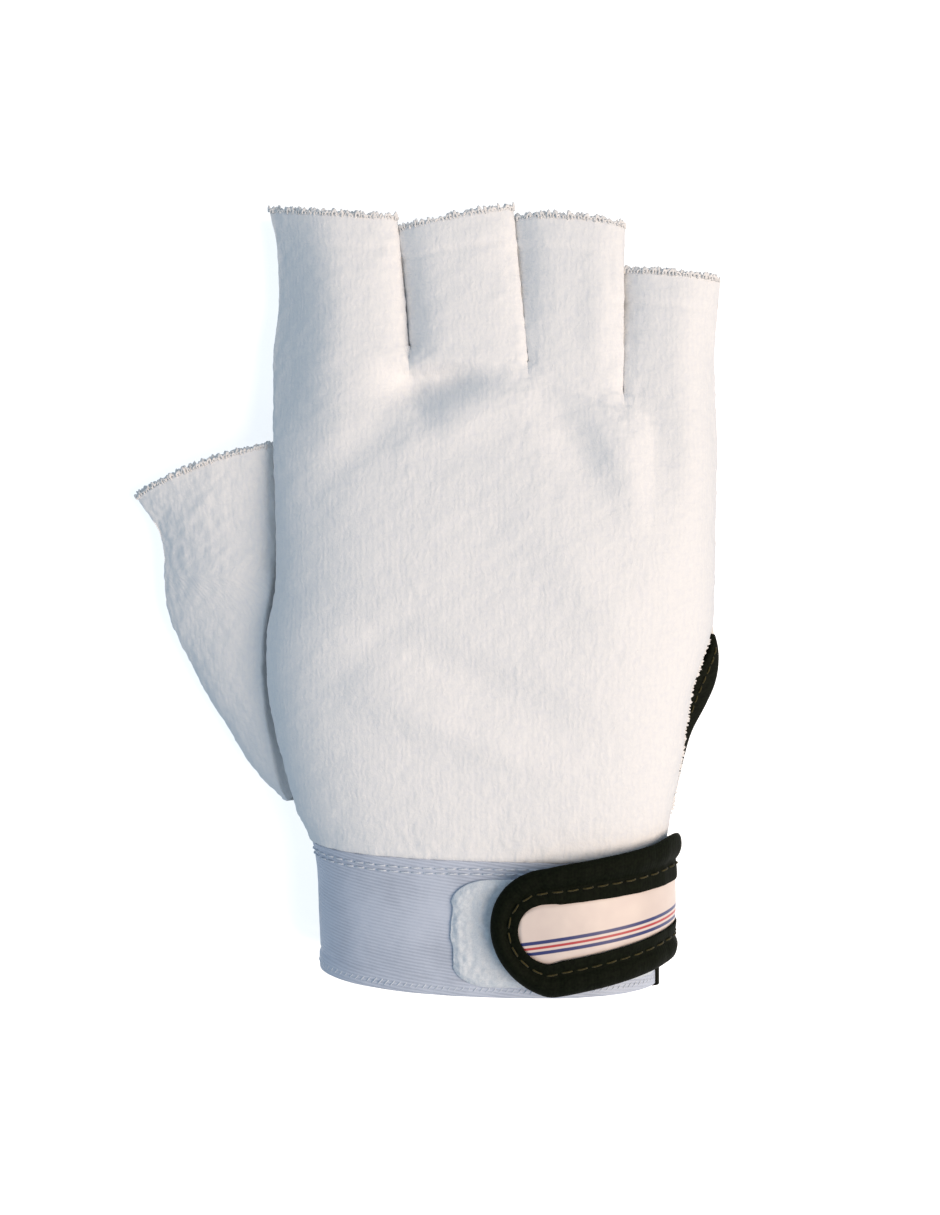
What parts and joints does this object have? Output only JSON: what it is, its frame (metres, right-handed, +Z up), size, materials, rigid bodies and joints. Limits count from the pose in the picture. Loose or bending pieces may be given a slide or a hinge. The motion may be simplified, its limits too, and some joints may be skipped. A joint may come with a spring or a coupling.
{
  "type": "tennis glove",
  "caption": "Half-finger tennis glove for the right hand with a looped terry back, smooth palm, elastic wrist band and bound hook-and-loop closure tab, lying palm down",
  "frame": {"origin": "the middle of the glove's outline, on the surface that it lies on", "axes": "+Z up from that surface, +Y toward the fingertips, +X toward the little finger"},
  "size_m": [0.1398, 0.1852, 0.0381],
  "materials": {
    "terry": "looped terry knit, white",
    "palm_leather": "smooth synthetic leather, white",
    "elastic": "woven elastic with a soft sheen, cool white",
    "loop_pile": "brushed loop pile",
    "hook_plastic": "hook tape",
    "black_tape": "folded black binding tape",
    "label_plate": "smooth pale plate, soft gloss"
  },
  "bodies": {
    "root": {"back_panel": "terry", "palm_panel": "palm_leather", "thumb": "terry", "wrist_band": "elastic", "band_slit_tape": "black_tape", "loop_patch": "loop_pile", "hook_patch": "hook_plastic", "closure_tab": "black_tape", "tab_tape": "black_tape", "tab_insert": "label_plate", "slit_tape": "black_tape", "hem_tape": "black_tape"}
  },
  "joints": []
}
